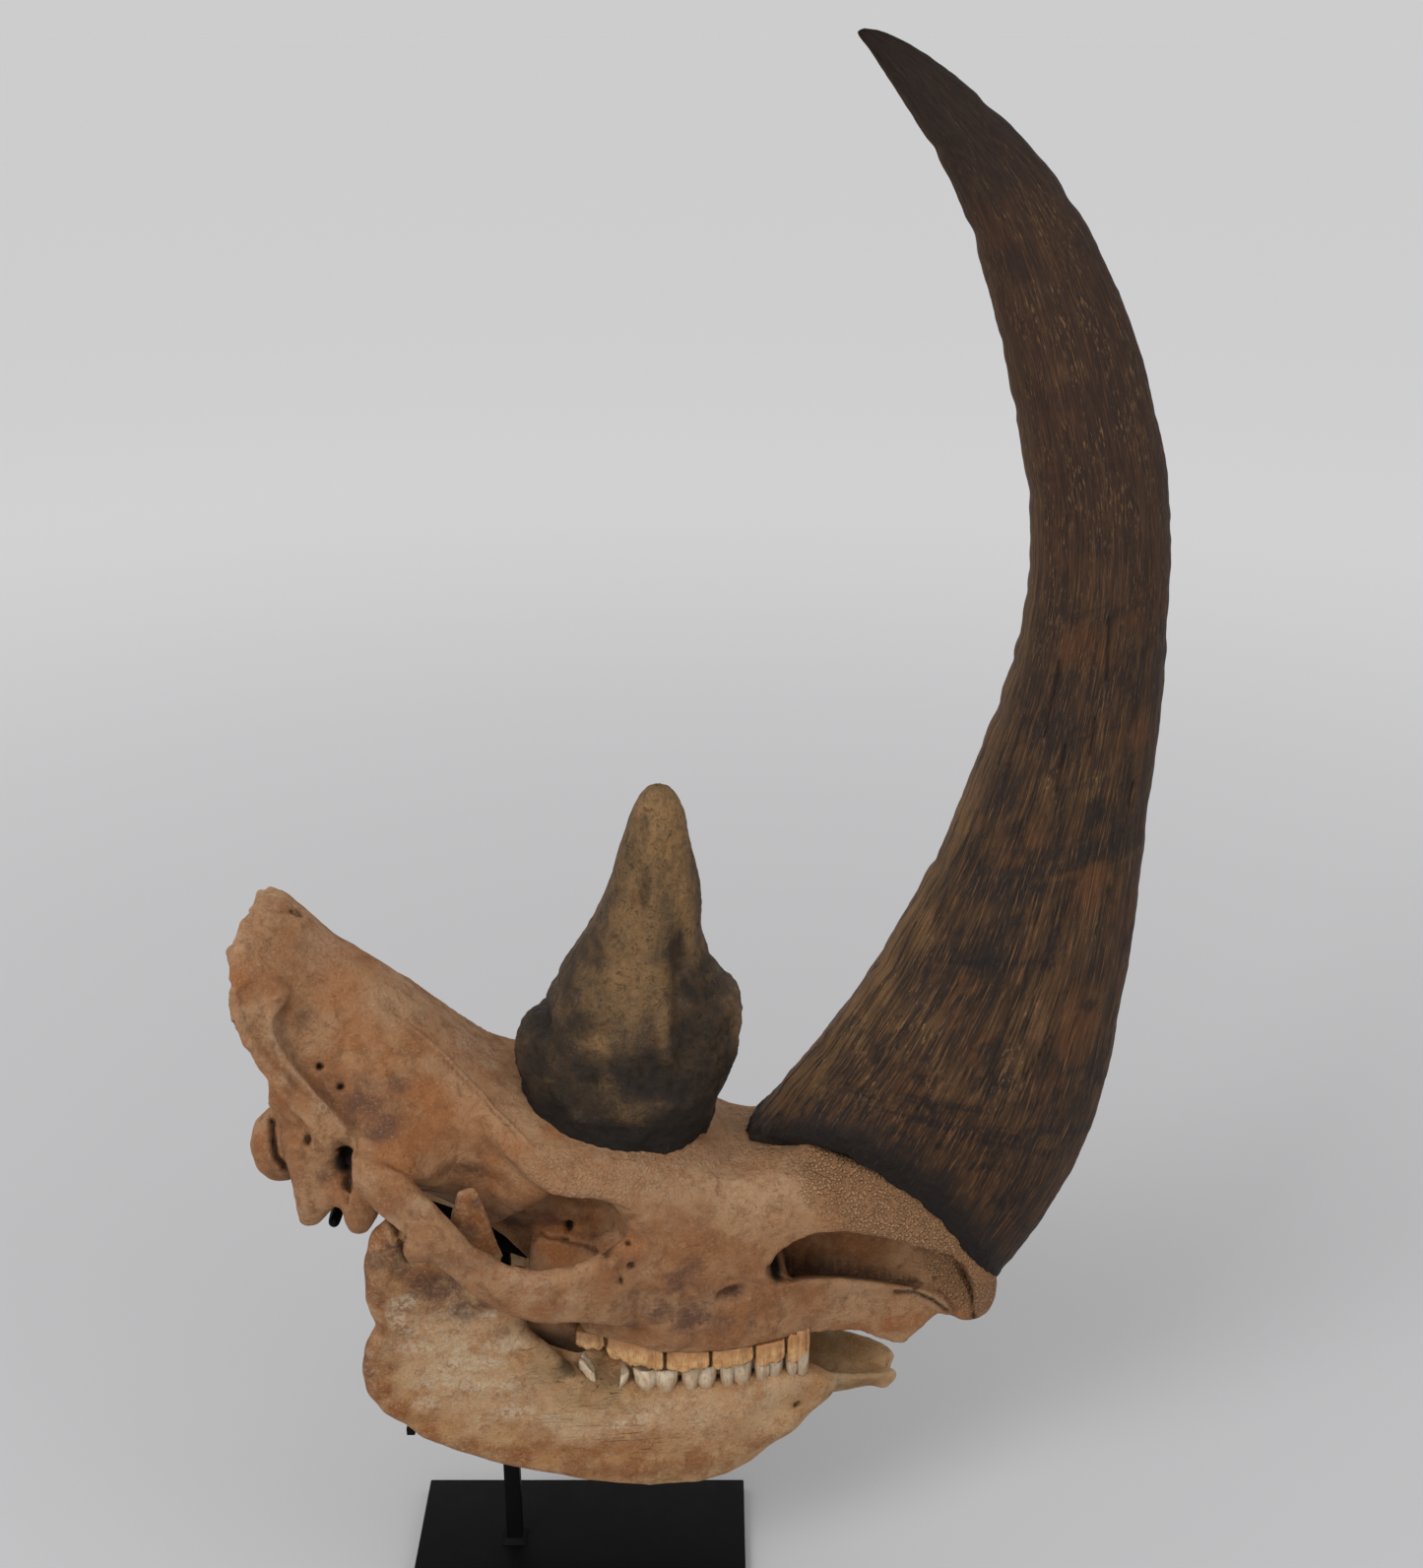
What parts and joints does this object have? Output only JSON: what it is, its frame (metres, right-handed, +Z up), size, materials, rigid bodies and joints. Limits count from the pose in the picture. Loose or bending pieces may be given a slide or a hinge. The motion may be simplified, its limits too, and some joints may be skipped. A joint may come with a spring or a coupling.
{
  "type": "mounted rhinoceros skull",
  "caption": "Woolly rhinoceros skull with a long blade-like front horn, a short rear horn and its lower jaw, held on a flat steel base by one square post.",
  "frame": {"origin": "middle of the underside of the base plate", "axes": "+X towards the nose, +Y towards the left side of the animal, +Z up; the skull's plane of symmetry is Y = 0"},
  "size_m": [0.817, 0.32, 1.48],
  "materials": {
    "skull_bone": "dry matte bone",
    "jaw_bone": "dry matte bone, paler",
    "nasal_horn": "fibrous horn, dull sheen",
    "frontal_horn": "grainy horn, dull",
    "upper_enamel": "stained tooth enamel, satin",
    "lower_enamel": "pale tooth enamel, satin",
    "stand_steel": "satin black paint"
  },
  "bodies": {
    "root": {"cranium": "skull_bone", "mandible": "jaw_bone", "nasal_horn": "nasal_horn", "frontal_horn": "frontal_horn", "upper_molar_3_right": "upper_enamel", "upper_molar_2_right": "upper_enamel", "upper_molar_1_right": "upper_enamel", "upper_premolar_4_right": "upper_enamel", "upper_premolar_3_right": "upper_enamel", "upper_premolar_2_right": "upper_enamel", "lower_molar_3_right": "lower_enamel", "lower_molar_2_right": "lower_enamel", "lower_molar_1_right": "lower_enamel", "lower_premolar_4_right": "lower_enamel", "lower_premolar_3_right": "lower_enamel", "lower_premolar_2_right": "lower_enamel", "upper_molar_3_left": "upper_enamel", "upper_molar_2_left": "upper_enamel", "upper_molar_1_left": "upper_enamel", "upper_premolar_4_left": "upper_enamel", "upper_premolar_3_left": "upper_enamel", "upper_premolar_2_left": "upper_enamel", "lower_molar_3_left": "lower_enamel", "lower_molar_2_left": "lower_enamel", "lower_molar_1_left": "lower_enamel", "lower_premolar_4_left": "lower_enamel", "lower_premolar_3_left": "lower_enamel", "lower_premolar_2_left": "lower_enamel", "base_plate": "stand_steel", "post": "stand_steel", "skull_arm": "stand_steel", "occipital_rest": "stand_steel", "jaw_arm": "stand_steel", "jaw_rest": "stand_steel"}
  },
  "joints": []
}
